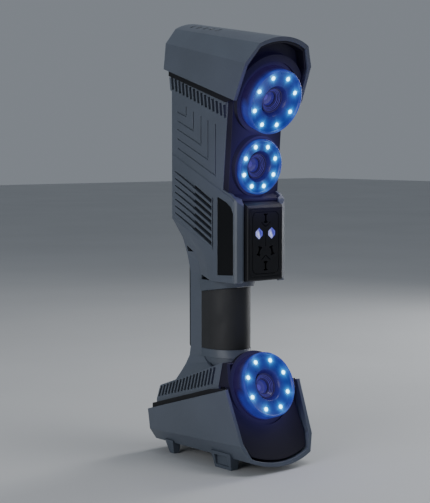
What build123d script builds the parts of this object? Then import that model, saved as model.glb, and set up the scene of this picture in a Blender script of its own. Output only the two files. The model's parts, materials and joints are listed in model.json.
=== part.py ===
from build123d import *
import os
from math import cos, radians, sin

# Handheld 3-D scanner standing on the feet of its lower hood. Millimetres, +Z up, the cameras look along -Y.
# While it is drawn, Y = 0 is the axis of the grip. Each part is shifted at the end so that the origin is
# the centre of the footprint, on the floor.
SHIFT_Y = 6.993

# Clamshell halves
HALF_WIDTH = 24.5       # flat side of the upper body
PANEL_PROUD = 0.9       # how far the louvre and module panel stands out of that side
WALL = 2.2
REAR_Y = 36.5
HANDLE_HALF = 17.3
HANDLE_REAR = 23.8
HANDLE_FRONT = 7.7
SPLIT_GAP = 0.05        # half of the seam between the two halves

# Hood sections: half-width and height at the lower corner, the middle crease, the upper crease and the crest
TOP_REAR = [(30.6, 294.8), (28.5, 314.2), (19.1, 325.5), (0.0, 330.2)]
TOP_FRONT = [(33.5, 268.9), (32.3, 294.5), (23.6, 308.7), (0.0, 314.2)]
TOP_REAR_Y = 37.0
TOP_RIM_Y = -58.5       # rim plane of the top hood, at the height TOP_RIM_Z
TOP_RIM_Z = 294.5
TOP_LEAN = -0.4257
LOW_REAR = [(34.9, 32.7), (32.9, 16.8), (26.9, 8.4), (0.0, 3.6)]
LOW_FRONT = [(37.3, 61.2), (35.6, 22.0), (29.6, 9.8), (0.0, 3.9)]
LOW_REAR_Y = 52.9
LOW_RIM_Y = -42.7       # rim plane of the lower hood, at the height LOW_RIM_Z
LOW_RIM_Z = 61.2
LOW_LEAN = 0.395
HOOD_WALL = 2.9
LINER_WALL = 1.5
FIT = 0.15              # gap left between neighbouring pieces of the fixed body

# Cameras: centre of the LED plane, tilt below the horizontal, LED circle and rim radius
CAMERAS = {
    "top": {"y": -54.6, "z": 268.4, "tilt": 20.2, "led": 18.8, "rim": 24.2, "barrel": 27.3, "face": -9.6,
            "sensor": -36.0},
    "middle": {"y": -38.5, "z": 221.6, "tilt": 8.6, "led": 15.6, "rim": 20.4, "barrel": 22.5, "face": -1.8,
               "sensor": -27.0},
    "lower": {"y": -48.3, "z": 61.6, "tilt": -19.2, "led": 19.0, "rim": 24.3, "barrel": 28.0, "face": -10.4,
              "sensor": -36.0},
}
LED_COUNT = 8
LED_RADIUS = 1.6
RIM_FRONT = 1.7         # how far the rim of a light cover stands in front of its LEDs
COVER_DEPTH = 7.5
LENS_RADIUS = 9.4

# Louvres and engraved lines of the side
SLOT_COUNT = 7
SLOT_PITCH = 5.2
SLOT_HEIGHT = 3.0
FIN_SLOTS_TOP = 15
FIN_SLOTS_LOW = 17

# Laser projector module
MODULE_HALF = 17.3
MODULE_FRONT = -45.2
MODULE_LOW = 140.6
MODULE_TOP = 191.8
FACE_THICK = 2.2
ENGRAVING = 0.9

# Rear buttons: name, height of the centre and cap radius
BUTTONS = [("zoom_in_button", 135.5, 4.2), ("scan_button", 122.5, 6.2), ("zoom_out_button", 109.5, 4.2),
           ("mode_button", 97.0, 4.2)]
BUTTON_GAP = 0.25
SPINE_REAR = 32.6
SPINE_HALF = 10.5

# Cooling fan
FAN_Z = 213.0
FAN_FRONT = 21.6
FAN_DEPTH = 10.0
FAN_HALF = 20.0
FAN_BORE = 18.6
SHAFT_RADIUS = 1.5
SHAFT_FIT = 0.03

# Cable socket at the rear of the lower hood
SOCKET_Z = 20.5
SOCKET_RADIUS = 7.0
SOCKET_BORE = 4.6
SOCKET_DEPTH = 6.0      # as far as the plug goes in, to the shoulder in front of the pins
PIN_WELL_RADIUS = 4.2
PIN_WELL_DEPTH = 9.0


def block(x0, x1, y0, y1, z0, z1):
    return Pos((x0 + x1) / 2, (y0 + y1) / 2, (z0 + z1) / 2) * Box(x1 - x0, y1 - y0, z1 - z0)


def side_prism(points, x0, x1):
    """An outline in (y, z), extruded from x0 to x1."""
    return extrude(Plane.YZ.offset(x0) * Polygon(*points, align=None), x1 - x0, dir=(1, 0, 0))


def plan_prism(points, z0, z1):
    """An outline in (x, y), extruded from z0 to z1."""
    return extrude(Plane.XY.offset(z0) * Polygon(*points, align=None), z1 - z0, dir=(0, 0, 1))


def front_plane(y):
    """A plane that faces the front, with its x along +X and its y along +Z."""
    return Plane(origin=(0, y, 0), x_dir=(1, 0, 0), z_dir=(0, -1, 0))


def mirrored(points):
    """A right-hand outline, listed bottom to top, closed by its mirror image."""
    return points + [(-x, *rest) for x, *rest in reversed(points)]


def section(points):
    """A flat face through points in space."""
    return Face(Wire([Line(a, b).edge() for a, b in zip(points, points[1:] + points[:1])]))


def ruling(rear, front, rear_y, rim, plane_y, lean):
    """Where the straight ruling of a hood, from its rear point to its rim point, meets a leaning plane."""
    rim_y, rim_z, rim_lean = rim
    front_y = rim_y + rim_lean * (front[1] - rim_z)
    rise = front[1] - rear[1]
    run = front_y - rear_y
    s = (plane_y + lean * rear[1] - rear_y) / (run - lean * rise)
    return Vector(rear[0] + s * (front[0] - rear[0]), rear_y + s * run, rear[1] + s * rise)


def hood_face(rear, front, rear_y, rim, plane_y, lean, drop):
    """The closed section of a hood in one plane: two sides, two chamfers and the arc of the crest."""
    low, mid, high, crest = [ruling(a, b, rear_y, rim, plane_y, lean) for a, b in zip(rear, front)]
    right = [low, mid, high]
    if drop:
        right.insert(0, Vector(low.X, low.Y + lean * drop, low.Z + drop))
    left = [Vector(-p.X, p.Y, p.Z) for p in reversed(right)]
    edges = [Line(a, b).edge() for a, b in zip(right, right[1:])]
    edges.append(ThreePointArc(high, crest, left[0]).edge())
    edges += [Line(a, b).edge() for a, b in zip(left, left[1:])]
    edges.append(Line(left[-1], right[0]).edge())
    return Face(Wire(edges))


def hood_solid(rear, front, rear_y, rim, start, end, drop):
    """A hood filled solid between two planes, each a pair of the y at z = 0 and the lean."""
    faces = [hood_face(rear, front, rear_y, rim, plane[0], plane[1], drop) for plane in (start, end)]
    return loft(faces, ruled=True)


def inset(corners, wall, crest_sign):
    """The corners of a hood section moved inwards by a wall; crest_sign is +1 for an arc on top."""
    low, mid, high, crest = corners
    return [(low[0] - wall, low[1]), (mid[0] - wall, mid[1] - crest_sign * wall * 0.45),
            (high[0] - wall * 0.55, high[1] - crest_sign * wall * 0.85), (0.0, crest[1] - crest_sign * wall)]


def top_plane(offset):
    """The rim plane of the top hood, moved along Y."""
    return (TOP_RIM_Y - TOP_LEAN * TOP_RIM_Z + offset, TOP_LEAN)


def low_plane(offset):
    return (LOW_RIM_Y - LOW_LEAN * LOW_RIM_Z + offset, LOW_LEAN)


def top_hood_solid(wall, rear_y, rim_offset, drop):
    rim = (TOP_RIM_Y, TOP_RIM_Z, TOP_LEAN)
    return hood_solid(inset(TOP_REAR, wall, 1), inset(TOP_FRONT, wall, 1), TOP_REAR_Y, rim,
                      (rear_y, 0.0), top_plane(rim_offset), -drop)


def low_hood_solid(wall, rear_y, rim_offset, drop):
    rim = (LOW_RIM_Y, LOW_RIM_Z, LOW_LEAN)
    return hood_solid(inset(LOW_REAR, wall, -1), inset(LOW_FRONT, wall, -1), LOW_REAR_Y, rim,
                      (rear_y, 0.0), low_plane(rim_offset), drop)


def camera_plane(camera, offset=0.0):
    """A plane across the optical axis, its z along the view and its y down the face."""
    tilt = radians(camera["tilt"])
    axis = Vector(0, -cos(tilt), -sin(tilt))
    origin = Vector(0, camera["y"], camera["z"]) + axis * offset
    return Plane(origin=origin, x_dir=(1, 0, 0), z_dir=axis)


def tube(camera, outer, inner, back, front):
    """A ring round the optical axis; an inner radius of 0 leaves it solid."""
    height = front - back
    base = (Align.CENTER, Align.CENTER, Align.MIN)
    ring = Cylinder(outer, height, align=base)
    if inner > 0:
        ring -= Cylinder(inner, height, align=base)
    return camera_plane(camera, back) * ring


def led_places(camera):
    """The eight LED places on their circle, half a step off the vertical."""
    step = 360 / LED_COUNT
    radius = camera["led"]
    return [Rot(0, 0, step * (i + 0.5)) * Pos(radius, 0, 0) for i in range(LED_COUNT)]


# ---------------------------------------------------------------- hoods

def hood_screws():
    """Places of the countersunk screws in the rear walls of the hoods."""
    return [(-12, TOP_REAR_Y, 303), (12, TOP_REAR_Y, 303), (-20, LOW_REAR_Y, 24), (20, LOW_REAR_Y, 24)]


def screw_recesses():
    return [Pos(x, y, z) * Rot(90, 0, 0) * Cylinder(2.3, 3.8) for x, y, z in hood_screws()]


def top_hood():
    hood = top_hood_solid(0, TOP_REAR_Y, 0, 0)
    hood = fillet(hood.faces().sort_by(Axis.Y)[-1].edges(), 1.2)
    hood -= top_hood_solid(HOOD_WALL, TOP_REAR_Y - HOOD_WALL, -8, 30)
    for i in range(5):
        slot = Pos(-11.5, 24.3 - 7.4 * i, 330) * Box(5.2, 2.4, 30)
        hood -= slot & (top_hood_solid(0, 60, -8, 0) - top_hood_solid(0.8, 60, -8, 30))
    return hood - screw_recesses()


def top_liner():
    """Black lining of the top hood; its lower edge shows below the hood, most at the rear."""
    outer = top_hood_solid(HOOD_WALL + FIT, TOP_REAR_Y - HOOD_WALL - FIT, 1.5, 4.4)
    inner = top_hood_solid(HOOD_WALL + FIT + LINER_WALL, TOP_REAR_Y - HOOD_WALL - LINER_WALL, -8, 30)
    keep = side_prism([(60, 289), (-29, 267.2), (-47, 270.6), (-90, 300), (-90, 360), (60, 360)], -60, 60)
    return (outer - inner) & keep


def lower_hood():
    hood = low_hood_solid(0, LOW_REAR_Y, 0, 0)
    hood = fillet(hood.faces().sort_by(Axis.Y)[-1].edges().sort_by(Axis.Z)[:-1], 1.2)
    hood -= low_hood_solid(HOOD_WALL, LOW_REAR_Y - HOOD_WALL, -8, 30)
    hood -= Pos(0, LOW_REAR_Y, SOCKET_Z) * Rot(90, 0, 0) * Cylinder(SOCKET_RADIUS + FIT, 20)
    return hood - screw_recesses()


def lower_liner():
    outer = low_hood_solid(HOOD_WALL + FIT, LOW_REAR_Y - HOOD_WALL - FIT, 1.5, 3.8)
    inner = low_hood_solid(HOOD_WALL + FIT + LINER_WALL, LOW_REAR_Y - HOOD_WALL - LINER_WALL, -8, 30)
    keep = side_prism([(60, 0), (60, 34.3), (-20, 58.2), (-43, 62.0), (-43, 20), (-60, 0)], -60, 60)
    shaft = Pos(0, LOW_REAR_Y, SOCKET_Z) * Rot(90, 0, 0) * Cylinder(SOCKET_RADIUS + FIT, 30)
    return (outer - inner) & keep - shaft


# ---------------------------------------------------------------- clamshell halves

def ramp_section(front_z, slope, points):
    """A section of the body in a plane that rises to the rear; points are (x, y) on the right-hand side."""
    return section([Vector(x, y, front_z + slope * (y + 14)) for x, y in mirrored(points)])


def upper_ramp(wall):
    """The body drawn in from the flat side of the louvre panel to the slim handle."""
    w = wall
    rows = [
        (160.0, 0.455, [24.5, 24.5, 24.5, 24.5, 22.0], [-14, -2, 20, 34 - w, 36.5 - w]),
        (150.5, 0.42, [24.3, 23.4, 21.4, 20.8, 17.4], [-14, -3, 10, 25.6 - w, 28.8 - w]),
        (143.0, 0.30, [24.2, 22.6, 18.8, 18.4, 14.8], [-14, -5, 9, 23.0 - w, 26.0 - w]),
        (136.8, 0.15, [24.2, 22.4, 17.3, 17.3, 14.3], [-14, -6, 8, 20.8 - w, 23.8 - w]),
    ]
    faces = []
    for front_z, slope, halves, depths in rows:
        points = [(half - w, y) for half, y in zip(halves, depths)]
        faces.append(ramp_section(front_z, slope, points))
    return loft(faces, ruled=True)


def handle_column(wall, z0, z1):
    half = HANDLE_HALF - wall
    rear = HANDLE_REAR - wall
    corner = 3.0
    outline = mirrored([(half, HANDLE_FRONT), (half, rear - corner), (half - corner, rear)])
    return plan_prism(outline, z0, z1)


def lower_flare(wall):
    """The foot of the handle, spreading onto the sloping deck."""
    w = wall
    rows = [
        (84.0, 0.0, [(17.3 - w, 7.7), (17.3 - w, 20.8 - w), (14.3 - w, 23.8 - w)]),
        (78.5, -0.04, [(17.4 - w, 4.5), (17.4 - w, 21.8 - w), (14.3 - w, 24.8 - w)]),
        (76.5, -0.17, [(18.4 - w, 0.0), (18.4 - w, 25.4 - w), (14.8 - w, 28.6 - w)]),
        (75.0, -0.27, [(21.0 - w, -6.0), (21.0 - w, 28.0 - w), (16.6 - w, 31.2 - w)]),
        (71.5, -0.361, [(25.2 - w, -14.0), (25.2 - w, 31.8 - w), (19.0 - w, 37.5 - w)]),
    ]
    return loft([ramp_section(front_z, slope, points) for front_z, slope, points in rows], ruled=True)


def deck_top(y):
    return 50.5 + (49.2 - y) * 0.361


def deck_low(y):
    return 40.3 + (49.2 - y) * 0.287


def deck_face(y, wall, drop):
    """One end of the sloping deck: chamfered sides that carry the fins, and a straight skirt below."""
    top = deck_top(y) - wall
    low = deck_low(y)
    right = [(29.0 - wall, y, low - drop), (29.0 - wall, y, low), (25.5 - wall, y, top)]
    return section([Vector(p) for p in mirrored(right)])


def lower_deck(wall, rear_y, front_y, drop):
    return loft([deck_face(rear_y, wall, drop), deck_face(front_y, wall, drop)], ruled=True)


def upper_block(wall):
    """The upper body, flat-sided, under the top hood."""
    rear = REAR_Y - wall
    half = HALF_WIDTH - wall
    outline = [(rear, 296.5), (rear, 183), (-14, 160), (-14, 137), (-30, 137), (-25.4, 203.9), (-31.4, 272),
               (-31.4, 276.6)]
    body = side_prism(outline, -half, half)
    corners = body.edges().filter_by(Axis.Z).sort_by(Axis.Y)[-2:]
    return chamfer(corners, 2.5)


def fin_collar(wall):
    """The flared band under the top hood that carries the upper fins."""
    faces = []
    for y, low, top in ((35.9 - wall, 279.9, 296.5), (-29.6, 256.0, 277.0)):
        right = [(24.4 - wall, y, low - 1.0), (25.5 - wall, y, low + 9.0), (25.5 - wall, y, top)]
        faces.append(section([Vector(p) for p in mirrored(right)]))
    return loft(faces, ruled=True)


def module_frame():
    """The grey frame round the projector, as a plan outline cut to its side view."""
    plan = mirrored([(24.5, -13), (24.5, -38.4), (23.4, -40.0), (19.4, -41.4), (18.0, -41.4)])
    hollow = mirrored([(22.0, -12), (22.0, -36.2), (18.0, -38.4), (18.0, -42.0)])
    frame = plan_prism(plan, 130, 210) - plan_prism(hollow, 129, 211)
    side = side_prism([(-12, 136.8), (-39.0, 136.8), (-42, 139.5), (-42, 192.5), (-39.0, 198.0),
                       (-34.5, 201.6), (-24.4, 205.6), (-12, 210)], -30, 30)
    return frame & side


def raised_panel(side):
    """The panel of louvres and module, standing slightly proud of the flat side below the ridge line."""
    points = [(33.5, 231.4), (33.5, 183.6), (-13.9, 162.2), (-13.9, 137.0), (-38.2, 137.0), (-38.2, 196.6),
              (-34.2, 199.9), (-25.4, 203.9)]
    outer = side_prism(points, HALF_WIDTH - 0.3, HALF_WIDTH + PANEL_PROUD)
    top_edges = outer.faces().sort_by(Axis.X)[-1].edges()
    panel = chamfer(top_edges, PANEL_PROUD * 0.85)
    return panel if side > 0 else mirror(panel, Plane.YZ)


def louvres(side):
    """Slanted louvre slots, cut through at the front and tapering to shallow grooves at the rear."""
    x0 = HALF_WIDTH - 4
    x1 = HALF_WIDTH + 4
    cuts = []
    for i in range(SLOT_COUNT):
        z = -SLOT_PITCH * i
        h = SLOT_HEIGHT / 2
        slot = [(8.2, 207.6 + z + h), (8.2, 207.6 + z - h), (-13.6, 196.1 + z - h), (-13.6, 196.1 + z + h)]
        groove = [(29.6, 217.9 + z), (29.6, 217.1 + z), (8.0, 206.3 + z), (8.0, 208.9 + z)]
        cuts.append(side_prism(slot, x0, x1))
        cuts.append(side_prism(groove, HALF_WIDTH - 1.2, x1))
    bar = [(-15.4, 199.0), (-15.4, 160.5), (-14.2, 160.5), (-14.2, 199.0)]
    cuts.append(side_prism(bar, HALF_WIDTH - 0.6, x1))
    both = Part() + cuts
    return both if side > 0 else mirror(both, Plane.YZ)


def nested_lines(side):
    """Five nested L-shaped engraved lines on the flat upper side."""
    corners = [(16.9, 258.7), (8.3, 247.9), (-0.5, 237.3), (-8.5, 226.5), (-17.1, 214.9)]
    leg_tops = [266.3, 262.1, 259.0, 255.9, 252.5]
    tail_ends = [262.3, 255.8, 249.4, 242.3, 235.3]
    w = 0.45
    cuts = []
    for (y, z), top, tail in zip(corners, leg_tops, tail_ends):
        leg = [(y - w, z - w), (y - w, top), (y + w, top), (y + w, z + w)]
        arm = [(y - w, z - w), (27.3, tail - w), (27.3, tail + w), (y - w, z + 2 * w)]
        cuts.append(side_prism(leg, HALF_WIDTH - 0.9, HALF_WIDTH + 3))
        cuts.append(side_prism(arm, HALF_WIDTH - 0.9, HALF_WIDTH + 3))
    both = Part() + cuts
    return both if side > 0 else mirror(both, Plane.YZ)


def fin_cuts(side):
    """Upright slots of the upper band and of the lower deck."""
    cuts = []
    for i in range(FIN_SLOTS_TOP):
        y = 32.6 - i * (32.6 + 28.0) / (FIN_SLOTS_TOP - 1)
        z = 279.9 + (y - 35.9) * 0.365
        cuts.append(block(20, 30, y - 1.35, y + 1.35, z + 0.6, z + 9.8))
    for i in range(FIN_SLOTS_LOW):
        y = 46.0 - i * (46.0 + 17.6) / (FIN_SLOTS_LOW - 1)
        cuts.append(block(22, 32, y - 1.25, y + 1.25, deck_low(y) + 1.4, deck_top(y) - 1.2))
    both = Part() + cuts
    return both if side > 0 else mirror(both, Plane.YZ)


def label_points(grow):
    """Outline of the black side panel, in (y, z), with its cut corner."""
    front = -37.5 - grow
    rear = -20.4 + grow
    return [(rear, 199.6 + 1.2 * grow), (-30.0, 196.0 + 1.2 * grow), (-35.3 - 0.6 * grow, 192.4 + grow),
            (front, 188.0), (front, 143.2 - grow), (rear, 142.2 - grow)]


def clamshell():
    """Both halves in one: outer form less the cavity."""
    outer = upper_block(0) + upper_ramp(0) + handle_column(0, 83.5, 146) + lower_flare(0)
    outer += lower_deck(0, 48.2, -26, 5) + fin_collar(0)
    cavity = upper_block(WALL) + upper_ramp(WALL) + handle_column(WALL, 80, 150) + lower_flare(WALL)
    cavity += lower_deck(WALL, 48.2 - WALL, -30, 8) + fin_collar(WALL)
    cavity += block(-14, 14, -5, 20, 55, 80) + block(-15.1, 15.1, 0, 12, 70, 145)
    cavity += block(-22.3, 22.3, -60, -13, 130, 290)
    cavity += side_prism([(-10, 120), (-10, 160), (-60, 160), (-60, 120)], -17, 17)
    cavity += block(-22.3, 22.3, -40, 31.0, 272, 320) + block(-40, 40, 32.2, 60, 288.6, 320)
    cavity += block(-20, 20, -13, 22, 157, 177)
    return outer - cavity


def shell_half(side, whole):
    x0, x1 = (SPLIT_GAP, 60) if side > 0 else (-60, -SPLIT_GAP)
    half = whole & block(x0, x1, -80, 80, 0, 340)
    half += module_frame() & block(x0, x1, -80, 80, 0, 340)
    half += raised_panel(side)
    pocket = side_prism(label_points(FIT), HALF_WIDTH - 0.7, HALF_WIDTH + 3)
    half -= pocket if side > 0 else mirror(pocket, Plane.YZ)
    half -= louvres(side)
    half -= nested_lines(side)
    half -= fin_cuts(side)
    half -= block(-7.5, 7.5, 20, 26, 92, 138)
    return half


def label_panel(side):
    panel = side_prism(label_points(0), HALF_WIDTH - 0.7, HALF_WIDTH + PANEL_PROUD - 0.25)
    return panel if side > 0 else mirror(panel, Plane.YZ)


def upper_front_housing():
    """The dark channel between the shells that carries the top and middle cameras, and the module's roof."""
    front = [(-26.0, 205.4), (-31.4, 203.3), (-36.8, 272), (-36.8, 292), (-31.9, 292), (-31.9, 272.4)]
    outer = side_prism(front, -24.2, 24.2)
    rear = [(-22, 206), (-29.2, 203.2), (-34.6, 272), (-34.6, 292), (-25.5, 292), (-25.5, 206)]
    rear_part = side_prism(rear, -21.9, 21.9)
    hollow = side_prism([(-10, 190), (-29.4, 190), (-34.8, 272), (-34.8, 300), (-10, 300)], -20.3, 20.3)
    roof = side_prism([(-26.0, 204.2), (-36.0, 199.5), (-36.0, 197.7), (-26.0, 202.4)], -21.8, 21.8)
    roof += side_prism([(-35.0, 200.0), (-38.2, 198.4), (-38.2, 196.7), (-35.0, 198.2)], -17.7, 17.7)
    roof += side_prism([(-28.6, 205.0), (-31.6, 204.0), (-31.6, 200.5), (-28.6, 201.5)], -21.8, 21.8)
    housing = (outer + rear_part - hollow) + roof
    for name in ("top", "middle"):
        camera = CAMERAS[name]
        housing -= tube(camera, camera["barrel"] + FIT, 0, flange_back(camera) - 0.2, 20)
        housing -= tube(camera, camera["rim"] - 5.0, 0, -60, 20)
    return housing


def upper_baffle():
    """Black plate across the inside of the top hood, with a raised ring round the camera."""
    camera = CAMERAS["top"]
    plate = tube(camera, 60, camera["rim"] - 5.0, -16.0, -13.9)
    plate += tube(camera, 32.9, camera["barrel"] + FIT, -13.9, -8.1)
    room = top_hood_solid(HOOD_WALL + LINER_WALL + 2 * FIT, 20, -1.5, 0)
    keep = side_prism([(20, 284.5), (-29, 270.2), (-34, 270.6), (-80, 275.0), (-80, 360), (20, 360)], -60, 60)
    return plate & room & keep


def lower_fascia():
    """The dark front of the lower hood: flush at the rim, set back further up, stepped round the camera."""
    camera = CAMERAS["lower"]
    front = [(-63.2, 8.0), (-36.6, 56.0), (-34.4, 60.0), (-32.2, 60.0), (-34.4, 55.0), (-60.6, 7.0),
             (-62.0, 2.0), (-66.0, 2.0)]
    plate = side_prism(front, -40, 40)
    plate += tube(camera, 34.7, camera["barrel"] + FIT, -19.0, -12.2)
    room = low_hood_solid(HOOD_WALL + LINER_WALL + 2 * FIT, 20, 0.6, 0)
    plate = plate & room
    plate -= tube(camera, camera["barrel"] + FIT, 0, flange_back(camera) - 0.2, 30)
    return plate - tube(camera, camera["rim"] - 5.0, 0, -60, 20)


def lower_front_housing():
    """The dark nose of the deck, between the grey fins and the lower camera."""
    camera = CAMERAS["lower"]
    keep = side_prism([(-26.2, 77.6), (-31.0, 77.6), (-38.6, 60.6), (-26.2, 60.6)], -40, 40)
    nose = (lower_deck(0.3, -26.2, -45, 4) & keep) - lower_deck(2.9, 0, -50, 8)
    tongue = lower_deck(WALL + FIT, -23.0, -28.4, 4) & block(-40, 40, -30, 0, 61, 90)
    nose += tongue - lower_deck(4.0, 0, -50, 8)
    nose -= tube(camera, camera["barrel"] + FIT, 0, flange_back(camera) - 0.2, 30)
    nose -= tube(camera, camera["rim"] - 5.0, 0, -60, 20)
    return nose


# ---------------------------------------------------------------- cameras

def flange_back(camera):
    """Rear face of a barrel's flange, behind the cup of its light cover."""
    return min(camera["face"], -COVER_DEPTH) - 4.0


def camera_barrel(camera):
    """Dark tube round the light ring: a wide flange in front and a neck through the housing."""
    rim = camera["rim"]
    face = camera["face"]
    barrel = tube(camera, camera["barrel"], 0, flange_back(camera), face)
    barrel += tube(camera, rim - 5.2, 0, camera["sensor"] + 10.0, flange_back(camera))
    cup_back = min(face, -COVER_DEPTH) - 1.6
    barrel -= tube(camera, rim + 0.3, 0, cup_back, 20)
    barrel -= tube(camera, LENS_RADIUS + 1.8, 0, -60, 20)
    return barrel


def light_cover(camera):
    """Translucent cup of the light ring: a raised rim, a face with eight holes and a funnel to the lens."""
    rim = camera["rim"]
    back = min(camera["face"], -COVER_DEPTH) - 1.5
    cover = tube(camera, rim, 0, back, RIM_FRONT)
    cover -= tube(camera, rim - 1.5, 0, 0, 5)
    cover -= tube(camera, rim - 1.6, LENS_RADIUS + 3.2, back - 1, -1.4)
    funnel = Cone(LENS_RADIUS + 0.4, LENS_RADIUS + 2.6, 5.0, align=(Align.CENTER, Align.CENTER, Align.MIN))
    cover -= camera_plane(camera, -5.0) * funnel
    cover -= tube(camera, LENS_RADIUS + 0.4, 0, back - 1, 1)
    cover -= [camera_plane(camera) * place * Cylinder(LED_RADIUS + 0.1, 6) for place in led_places(camera)]
    return cover


def led_board(camera):
    return tube(camera, camera["rim"] - 2.0, LENS_RADIUS + 3.5, -4.8, -3.6)


def led_group(camera):
    """Eight LEDs with domed tops that stand just through the cover."""
    base = (Align.CENTER, Align.CENTER, Align.MIN)
    leds = []
    for place in led_places(camera):
        body = Cylinder(LED_RADIUS, 3.5, align=base)
        body = fillet(body.edges().sort_by(Axis.Z)[-1], 0.7)
        foot = Cylinder(LED_RADIUS + 0.6, 0.9, align=base)
        leds.append(camera_plane(camera, -3.55) * place * (body + foot))
    return Part() + leds


def lens_barrel(camera):
    """Stepped black lens tube with three rings inside its mouth."""
    barrel = tube(camera, LENS_RADIUS, 0, camera["sensor"] + 6.0, -3.2)
    for step in range(4):
        barrel -= tube(camera, LENS_RADIUS - 0.9 - 0.7 * step, 0, -4.2 - 0.8 * step, 5)
    barrel -= tube(camera, 5.4, 0, -9.6, 5)
    return barrel


def lens_glass(camera):
    """Domed front element of the lens."""
    base = (Align.CENTER, Align.CENTER, Align.MIN)
    cap = Cylinder(5.3, 3.0, align=base) & (Pos(0, 0, 2.9 - 14) * Sphere(14))
    return camera_plane(camera, -9.5) * cap


def camera_body(camera):
    """Sensor block behind the lens, with its mounting foot on the chassis."""
    sensor = camera_plane(camera, camera["sensor"]) * Box(24, 24, 11.8)
    centre = camera_plane(camera, camera["sensor"]).origin
    foot = block(-9, 9, centre.Y, -0.1, centre.Z - 8, centre.Z + 8)
    return sensor + foot


# ---------------------------------------------------------------- laser projector

def window_outline(width, height, stem, turn, x, z):
    """An I-shaped window in the front plane."""
    bar = 1.3
    shape = Rectangle(stem, height) + [Pos(0, s * (height - bar) / 2) * Rectangle(width, bar) for s in (-1, 1)]
    return Pos(x, z) * Rot(0, 0, turn) * shape


def window_places():
    return [(184.1, 0.0, 0.0), (149.2, 0.0, 0.0), (160.4, -6.2, -18.0), (160.4, 6.2, 18.0)]


def lens_outline(x, grow):
    """A blunt diamond: six sides, taller than wide."""
    points = [(0, 4.4), (3.6, 1.4), (3.6, -1.4), (0, -4.4), (-3.6, -1.4), (-3.6, 1.4)]
    scale_up = 1 + grow / 4.0
    return Pos(x, 173.1) * Polygon(*[(px * scale_up, py * scale_up) for px, py in points], align=None)


def front_cut(outline, y_front, depth):
    """A front-facing outline, extruded rearwards from y_front."""
    return extrude(front_plane(y_front) * outline, depth, dir=(0, 1, 0))


def projector_housing():
    profile = [(-17, 138.4), (-43.9, 138.4), (-45.0, 139.6), (-45.0, 191.8), (-43.4, 193.8), (-37.4, 196.4),
               (-17, 196.4)]
    body = side_prism(profile, -MODULE_HALF, MODULE_HALF)
    mid_z = (MODULE_LOW + MODULE_TOP) / 2
    pocket = Pos(0, mid_z) * RectangleRounded(2 * 15.6, MODULE_TOP - MODULE_LOW - 2.0, 4.0)
    body -= front_cut(pocket, -50, 31.2)
    corners = body.edges().filter_by(Axis.Z).sort_by(Axis.Y)[:2]
    body = fillet(corners, 1.2)
    return body - [block(x - 2.8, x + 2.8, -25, -10, z - 3.3, z + 3.3) for x, z in bracket_places()]


def projector_face():
    """Front plate with the windows, the two lens openings and its engraved outlines."""
    mid_z = (MODULE_LOW + MODULE_TOP) / 2
    edge = RectangleRounded(30.9, MODULE_TOP - MODULE_LOW - 2.3, 3.8)
    plate = front_cut(Pos(0, mid_z) * edge, MODULE_FRONT, FACE_THICK)
    outer = RectangleRounded(26.4, 45.7, 4.8)
    line = outer - RectangleRounded(25.2, 44.5, 4.2)
    plate -= front_cut(Pos(0, mid_z) * line, MODULE_FRONT - 1, 1 + ENGRAVING)
    for z, x, turn in window_places():
        plate -= front_cut(window_outline(3.8, 6.9, 1.9, turn, x, z), MODULE_FRONT - 1, 5)
    for side in (-1, 1):
        plate -= front_cut(lens_outline(side * 6.2, 0.15), MODULE_FRONT - 1, 5)
        for z, tilt in ((179.6, 38), (155.2, -38)):
            mark = Pos(side * 2.3, z) * Rot(0, 0, side * tilt) * Rectangle(5.6, 0.8)
            plate -= front_cut(mark, MODULE_FRONT - 1, 1 + ENGRAVING)
    plate -= front_cut(Pos(0, 168.0) * Rectangle(0.6, 9.0), MODULE_FRONT - 1, 1 + ENGRAVING)
    return plate


def projector_lenses():
    """Two lit diamond-shaped lenses with bevelled fronts."""
    lenses = []
    for side in (-1, 1):
        body = front_cut(lens_outline(side * 6.2, 0.0), MODULE_FRONT - 0.1, 3.0)
        lenses.append(chamfer(body.faces().sort_by(Axis.Y)[0].edges(), 0.8))
    return Part() + lenses


def projector_windows():
    """Dark glass behind the four I-shaped windows."""
    pane = Rectangle(5.4, 8.4)
    y = MODULE_FRONT + FACE_THICK + 0.05
    return Part() + [front_cut(Pos(x, z) * pane, y, 0.9) for z, x, _ in window_places()]


def emitter_places():
    places = [(z, x) for z, x, _ in window_places()]
    return places + [(173.1, -6.2), (173.1, 6.2)]


def laser_emitters():
    """Six laser diode cans with their line optics."""
    cans = []
    for z, x in emitter_places():
        can = Rot(90, 0, 0) * Cylinder(2.4, 10.2) + Pos(0, 4.95, 0) * Rot(90, 0, 0) * Cylinder(2.9, 1.4)
        cans.append(Pos(x, -36.8, z) * can)
    return Part() + cans


def bracket_places():
    return [(x, z) for x in (-11, 11) for z in (146.8, 185.6)]


def laser_bracket():
    """Aluminium plate that holds the laser cans and stands off the chassis."""
    plate = block(-14.8, 14.8, -35.0, -32.6, 143.5, 189.0)
    plate -= [Pos(x, -34, z) * Rot(90, 0, 0) * Cylinder(2.5, 6) for z, x in emitter_places()]
    plate += [block(x - 2.5, x + 2.5, -32.6, -20.0, z - 3, z + 3) for x, z in bracket_places()]
    return plate


# ---------------------------------------------------------------- handle

def grip_outline(half, depth):
    """A half ellipse in front of straight sides."""
    front = Ellipse(half, depth) & Pos(0, -50) * Rectangle(200, 100)
    return front + Pos(0, (HANDLE_FRONT - FIT) / 2) * Rectangle(2 * half, HANDLE_FRONT - FIT)


def grip_sleeve():
    sleeve = extrude(Plane.XY.offset(84.5) * (grip_outline(17.3, 21.2) - grip_outline(14.8, 18.7)), 60)
    hollow = block(-14.8, 14.8, 0, 20, 80, 150)
    return sleeve - hollow - side_prism([(20, 125.6), (-30, 132.9), (-30, 160), (20, 160)], -30, 30)


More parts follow.
